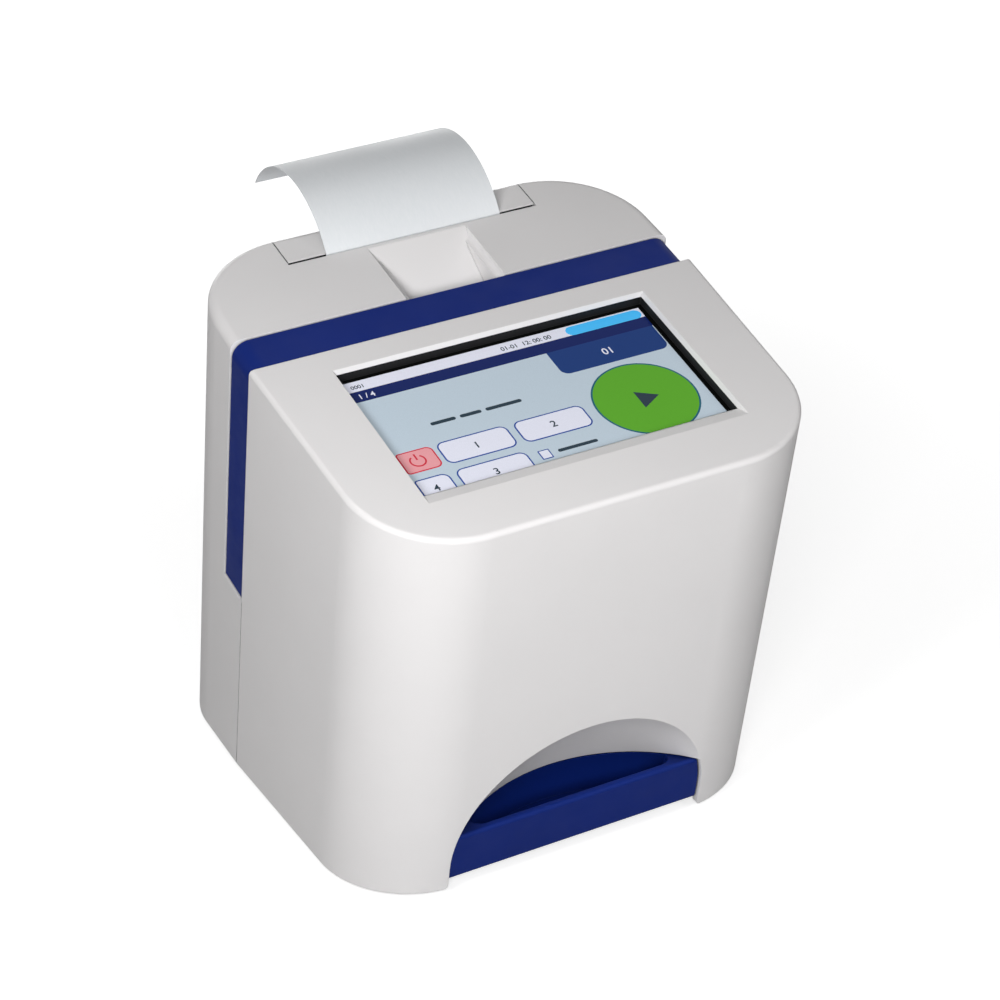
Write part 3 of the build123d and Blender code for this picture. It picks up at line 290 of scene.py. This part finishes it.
def paper_white():
    """Thermal paper: fine fibres, faint cockle, slightly bluish white."""
    n = Nodes("paper_white")
    fibres = n.noise(0.6, 5.0, (1, 0.25, 0.25))
    clouds = n.noise(22.0, 3.0)
    base = n.mix(n.ramp(clouds, 0.3, 0.7), (0.74, 0.77, 0.79), (0.76, 0.785, 0.805))
    n.link(n.mix(n.ramp(fibres, 0.2, 0.9), base, (0.79, 0.81, 0.83)), n.shader.inputs["Base Color"])
    n.link(n.ramp(clouds, 0.3, 0.7, 0.5, 0.6), n.shader.inputs["Roughness"])
    cockle = n.bump(clouds, 0.12)
    n.link(n.bump(fibres, 0.006, cockle), n.shader.inputs["Normal"])
    n.shader.inputs["Specular IOR Level"].default_value = 0.3
    return n.material


def core_card():
    return surface("core_card", (0.5, 0.38, 0.25), 0.85, mottle=0.12, mottle_mm=2,
                   grain_mm=0.4, grain_depth_mm=0.03, worn=(0.58, 0.47, 0.34), specular=0.2,
                   stretch=(1, 0.2, 0.2))


def platen_rubber():
    return surface("platen_rubber", (0.045, 0.045, 0.05), 0.7, mottle=0.12, mottle_mm=4,
                   grain_mm=0.2, grain_depth_mm=0.01, worn=(0.1, 0.1, 0.1), specular=0.3,
                   stretch=(0.2, 1, 1))


def motor_can():
    return surface("motor_can", (0.5, 0.5, 0.52), 0.3, metallic=1.0, mottle=0.05,
                   mottle_mm=6, grain_mm=0.25, grain_depth_mm=0.003, worn=(0.7, 0.7, 0.72),
                   stretch=(0.1, 1, 1))


def socket_metal():
    return surface("socket_metal", (0.58, 0.58, 0.6), 0.28, metallic=1.0, mottle=0.06,
                   mottle_mm=4, grain_mm=0.3, grain_depth_mm=0.003, worn=(0.75, 0.75, 0.77))


FINISHES = (cover_white, accent_blue, base_grey, rubber_black, black_plastic, screen_glass,
            screw_steel, sheet_steel, display_metal, board_green, led_white, seat_grey,
            head_black, gear_white, paper_white, core_card, platen_rubber, motor_can,
            socket_metal)
finishes = {make.__name__: make() for make in FINISHES}

for part in frame["record"]["subparts"]:
    slots = frame["nodes"][part["node"]].material_slots
    for material_slot in slots:
        material_slot.material = finishes[part["material_slot"]]


# ---- case frame ---------------------------------------------------------------------------
# The screen lies parallel to the top plane of the case, which slopes down to the user.
TILT = radians(12.0)
UP = Vector((0, -sin(TILT), cos(TILT)))
BACK = Vector((0, cos(TILT), sin(TILT)))
SIDE = Vector((1, 0, 0))


def span(node, direction):
    """Lowest and highest reach of a CAD node along a direction."""
    reach = [vertex.co.dot(direction) for vertex in frame["nodes"][node].data.vertices]
    return min(reach), max(reach)


glass_back = span("touch_panel", BACK)
GLASS_TOP = span("touch_panel", UP)[1]
SCREEN_CENTRE = UP * GLASS_TOP + BACK * (sum(glass_back) / 2)
SCREEN_FRAME = Matrix.Translation(SCREEN_CENTRE) @ Matrix((SIDE, BACK, UP)).transposed().to_4x4()


def solid(name, faces_of, material, body):
    """New piece from a bmesh filled by faces_of(mesh)."""
    mesh = bmesh.new()
    faces_of(mesh)
    bmesh.ops.recalc_face_normals(mesh, faces=mesh.faces)
    data = bpy.data.meshes.new(name)
    mesh.to_mesh(data)
    mesh.free()
    piece = bpy.data.objects.new(name, data)
    bpy.context.scene.collection.objects.link(piece)
    data.materials.append(material)
    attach(piece, body)
    return piece


# ---- what the screen shows ------------------------------------------------------------------
# Screen millimetres: x to the right from the middle, y up from the middle of the lit area.
ACTIVE_X, ACTIVE_Y = 47.52, 26.93
LAYER = 0.03                # each drawn layer is this thick
CORNER_STEPS = 8


def box_outline(x0, x1, y0, y1, radii=0.0):
    """Rectangle; radii are those of its corners, from the lower left, anticlockwise."""
    if not isinstance(radii, tuple):
        radii = (radii,) * 4
    corners = ((x0, y0, 180), (x1, y0, 270), (x1, y1, 0), (x0, y1, 90))
    points = []
    for (x, y, start), r in zip(corners, radii):
        if r == 0:
            points.append((x, y))
            continue
        cx = x + r if x == x0 else x - r
        cy = y + r if y == y0 else y - r
        for i in range(CORNER_STEPS + 1):
            angle = radians(start + 90 * i / CORNER_STEPS)
            points.append((cx + r * cos(angle), cy + r * sin(angle)))
    return points


def disc_outline(x, y, r, steps=72):
    angles = [2 * pi * i / steps for i in range(steps)]
    return [(x + r * cos(a), y + r * sin(a)) for a in angles]


def glow(name, colour, rough=0.12):
    """Lit pixels under glass: part of the colour is light of its own."""
    n = Nodes(name)
    pixels = n.ramp(n.noise(0.25, 1.0), 0.3, 0.7)
    shade = n.mix(pixels, scaled(colour, 0.97), scaled(colour, 1.03))
    n.link(shade, n.shader.inputs["Base Color"])
    n.link(shade, n.shader.inputs["Emission Color"])
    n.link(n.ramp(n.noise(14.0, 4.0), 0.35, 0.75, rough * 0.7, rough * 1.3),
           n.shader.inputs["Roughness"])
    n.shader.inputs["Emission Strength"].default_value = 0.45
    n.shader.inputs["Specular IOR Level"].default_value = 0.06
    return n.material


SKY = glow("screen_sky", (0.375, 0.445, 0.505))
WHITE = glow("screen_white", (0.56, 0.57, 0.65))
NAVY = glow("screen_navy", (0.004, 0.012, 0.085))
TAB = glow("screen_tab", (0.008, 0.032, 0.14))
GREEN = glow("screen_green", (0.08, 0.29, 0.018))
TEAL = glow("screen_teal", (0.012, 0.085, 0.13))
CYAN = glow("screen_cyan", (0.05, 0.38, 0.72))
PINK = glow("screen_pink", (0.58, 0.25, 0.27))
RED = glow("screen_red", (0.45, 0.03, 0.05))
OUTLINE = glow("screen_outline", (0.014, 0.05, 0.23))
INK = glow("screen_ink", (0.02, 0.035, 0.05))


def plate(name, outline, layer, material):
    """Thin flat piece on the glass, in the given layer over it."""
    low, high = (layer * LAYER + 0.01), ((layer + 1) * LAYER + 0.01)

    def faces(mesh):
        rings = []
        for level in (low, high):
            rings.append([mesh.verts.new(SCREEN_FRAME @ (Vector((x, y, level)) * MM))
                          for x, y in outline])
        mesh.faces.new(rings[0][::-1])
        mesh.faces.new(rings[1])
        for i in range(len(outline)):
            j = (i + 1) % len(outline)
            mesh.faces.new((rings[0][i], rings[0][j], rings[1][j], rings[1][i]))

    return solid(name, faces, material, "housing")


def button(name, x0, x1, y0, y1, radii, fill=WHITE, line=OUTLINE, width=0.45):
    """Outlined button: a darker plate with the fill on top of it."""
    plate(f"{name}_line", box_outline(x0, x1, y0, y1, radii), 1, line)
    inner = tuple(max(r - width, 0) for r in radii)
    inside = box_outline(x0 + width, x1 - width, y0 + width, y1 - width, inner)
    plate(f"{name}_fill", inside, 2, fill)


FIGURE_SHARE = 0.72         # height of a figure in the font's size
FIGURE_BOLD = 0.018         # how far a figure's outline is moved out, in its height


def figures(name, text, x, y, size, layer, material):
    """Plain numbers on the screen, centred on (x, y), size is their height in mm."""
    curve = bpy.data.curves.new(name, "FONT")
    curve.body = text
    curve.size = size * MM / FIGURE_SHARE
    curve.align_x = "CENTER"
    curve.extrude = LAYER / 2 * MM
    curve.offset = size * FIGURE_BOLD * MM
    made = bpy.data.objects.new(name + "_curve", curve)
    bpy.context.scene.collection.objects.link(made)
    bpy.context.view_layer.update()
    evaluated = made.evaluated_get(bpy.context.evaluated_depsgraph_get())
    data = bpy.data.meshes.new_from_object(evaluated)
    bpy.data.objects.remove(made)
    centre = Matrix.Translation(Vector((x, y - size / 2, layer * LAYER + 0.01 + LAYER / 2)) * MM)
    data.transform(SCREEN_FRAME @ centre)
    data.materials.clear()
    data.materials.append(material)
    piece = bpy.data.objects.new(name, data)
    bpy.context.scene.collection.objects.link(piece)
    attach(piece, "housing")
    return piece


def screen_y(from_top):
    """Screen y of a line that many millimetres below the first lit row."""
    return ACTIVE_Y - from_top


def status_rows():
    plate("screen_ground", box_outline(-ACTIVE_X, ACTIVE_X, -ACTIVE_Y, ACTIVE_Y), 0, SKY)
    plate("screen_status", box_outline(-ACTIVE_X, ACTIVE_X, screen_y(4.3), screen_y(0)), 1, WHITE)
    plate("screen_title", box_outline(-ACTIVE_X, ACTIVE_X, screen_y(8.8), screen_y(4.3)), 1, NAVY)
    plate("screen_badge", box_outline(22.3, 47.0, screen_y(4.4), screen_y(0.5), 1.94), 2, CYAN)
    tab = box_outline(12.4, 47.2, screen_y(19.4), screen_y(8.8), (2.6, 2.6, 0, 0))
    plate("screen_tab", tab, 1, TAB)
    figures("screen_clock", "01-01  12: 00: 00", 9.2, screen_y(2.4), 1.7, 2, INK)
    figures("screen_user", "0001", -44.0, screen_y(2.4), 1.5, 2, INK)
    figures("screen_page", "1 / 4", -43.2, screen_y(6.6), 2.0, 2, WHITE)
    figures("screen_tab_number", "01", 29.5, screen_y(14.2), 2.7, 2, WHITE)


def start_button():
    x, y = 29.1, screen_y(37.1)
    plate("start_line", disc_outline(x, y, 15.6), 1, TEAL)
    plate("start_fill", disc_outline(x, y, 15.05), 2, GREEN)
    triangle = [(x + 4.2 * cos(radians(a)), y + 4.2 * sin(radians(a))) for a in (0, 120, 240)]
    plate("start_sign", triangle, 3, INK)


def buttons():
    row = (screen_y(41.8), screen_y(32.5))
    low_row = (screen_y(53.7), screen_y(44.4))
    round_all = (2.4, 2.4, 2.4, 2.4)
    button("button_1", -35.2, -13.5, *row, round_all)
    button("button_2", -11.4, 10.4, *row, round_all)
    button("button_3", -35.2, -13.5, *low_row, round_all)
    button("button_4", -47.4, -37.2, *low_row, (1.0, 2.4, 2.4, 1.0))
    for i, (x, y) in enumerate(((-24.4, row), (-0.5, row), (-24.4, low_row), (-42.6, low_row))):
        figures(f"button_{i + 1}_number", str(i + 1), x, sum(y) / 2, 2.6, 3, INK)
    button("standby", -47.4, -36.5, screen_y(41.6), screen_y(32.7), (1.0, 2.0, 2.0, 1.0),
           fill=PINK, line=RED)
    button("tick_box", -10.4, -7.0, screen_y(49.8), screen_y(46.0), (0.2,) * 4, width=0.35)


def arc_band(x, y, r, width, start, end, steps=28):
    """Outline of an arc of a ring, angles in degrees."""
    angles = [radians(start + (end - start) * i / steps) for i in range(steps + 1)]
    outer = [(x + (r + width / 2) * cos(a), y + (r + width / 2) * sin(a)) for a in angles]
    inner = [(x + (r - width / 2) * cos(a), y + (r - width / 2) * sin(a)) for a in angles]
    return outer + inner[::-1]


def standby_sign():
    """Open ring with a stroke at its top."""
    x, y = -42.4, screen_y(37.2)
    plate("standby_ring", arc_band(x, y, 2.2, 0.5, 125, 415), 3, RED)
    plate("standby_stroke", box_outline(x - 0.25, x + 0.25, y + 0.4, y + 2.9), 3, RED)


def hint_lines():
    """Three bars over the buttons and one beside the tick box."""
    for i, (x0, x1) in enumerate(((-32.3, -24.6), (-23.2, -16.6), (-15.2, -4.0))):
        plate(f"hint_{i + 1}", box_outline(x0, x1, screen_y(25.3), screen_y(24.0), 0.6), 1, INK)
    plate("tick_label", box_outline(-4.8, 7.6, screen_y(48.5), screen_y(47.3), 0.55), 1, INK)


status_rows()
start_button()
buttons()
standby_sign()
hint_lines()


# ---- studio -------------------------------------------------------------------------------
FLOOR_HALF = 6.0
FLOOR_GREY = 0.6            # its own colour, low so that little light comes back up
FLOOR_LIFT = (0.66, 1.0)    # light it adds to the camera's view, near and far
FLOOR_REACH = (0.1, 0.6)    # where near ends and far starts, metres from the middle
AMBIENT = 0.025             # strength of the dome that lights the object

# name, place, target, width in metres, power in watts
LAMPS = (
    ("key", (-0.415, -0.64, 0.446), (0, 0, 0.08), 0.22, 2.6),
    ("near_left", (-0.34, -0.24, 0.42), (0, 0, 0.08), 0.15, 0.9),
    ("near_front", (-0.12, -0.44, 0.40), (0, 0, 0.08), 0.15, 0.55),
    ("right_fill", (0.35, -0.68, 0.5), (0, 0, 0.08), 0.3, 1.3),
    ("back_fill", (0.15, 1.0, 0.2), (0, 0, 0.09), 0.8, 6.5),
)


def stage_floor():
    """Pale floor that looks white to the camera and keeps the object's shadow."""
    data = bpy.data.meshes.new("floor")
    mesh = bmesh.new()
    corners = ((-1, -1), (1, -1), (1, 1), (-1, 1))
    mesh.faces.new([mesh.verts.new((x * FLOOR_HALF, y * FLOOR_HALF, 0)) for x, y in corners])
    mesh.to_mesh(data)
    mesh.free()
    floor = bpy.data.objects.new("floor", data)
    bpy.context.scene.collection.objects.link(floor)
    n = Nodes("floor_white")
    n.shader.inputs["Base Color"].default_value = (FLOOR_GREY,) * 3 + (1,)
    n.shader.inputs["Roughness"].default_value = 0.9
    n.shader.inputs["Specular IOR Level"].default_value = 0.0
    seen = n.add("ShaderNodeLightPath").outputs["Is Camera Ray"]
    reach = n.add("ShaderNodeVectorMath", operation="LENGTH")
    n.link(n.place, reach.inputs[0])
    lift = n.ramp(reach.outputs["Value"], *FLOOR_REACH, *FLOOR_LIFT)
    n.link(n.multiply(seen, lift), n.shader.inputs["Emission Strength"])
    n.shader.inputs["Emission Color"].default_value = (1, 1, 1, 1)
    data.materials.append(n.material)


def studio_world():
    """White to the camera and to reflections, a plain dim dome to everything else."""
    world = bpy.data.worlds.new("studio")
    bpy.context.scene.world = world
    world.use_nodes = True
    tree = world.node_tree
    tree.nodes.clear()
    paths = tree.nodes.new("ShaderNodeLightPath")
    direct = None
    for name in ("Is Camera Ray", "Is Glossy Ray", "Is Transmission Ray"):
        if direct is None:
            direct = paths.outputs[name]
            continue
        either = tree.nodes.new("ShaderNodeMath")
        either.operation = "MAXIMUM"
        tree.links.new(direct, either.inputs[0])
        tree.links.new(paths.outputs[name], either.inputs[1])
        direct = either.outputs[0]
    strength = tree.nodes.new("ShaderNodeMapRange")
    strength.inputs["To Min"].default_value = AMBIENT
    strength.inputs["To Max"].default_value = 1.0
    tree.links.new(direct, strength.inputs["Value"])
    background = tree.nodes.new("ShaderNodeBackground")
    background.inputs["Color"].default_value = (1, 1, 1, 1)
    tree.links.new(strength.outputs["Result"], background.inputs["Strength"])
    output = tree.nodes.new("ShaderNodeOutputWorld")
    tree.links.new(background.outputs["Background"], output.inputs["Surface"])


def lamp(name, place, target, size, power):
    data = bpy.data.lights.new(name, "AREA")
    data.shape = "DISK"
    data.size = size
    data.energy = power
    light = bpy.data.objects.new(name, data)
    bpy.context.scene.collection.objects.link(light)
    light.location = place
    light.rotation_mode = "QUATERNION"
    light.rotation_quaternion = (Vector(target) - Vector(place)).to_track_quat("-Z", "Y")


stage_floor()
studio_world()
for settings in LAMPS:
    lamp(*settings)
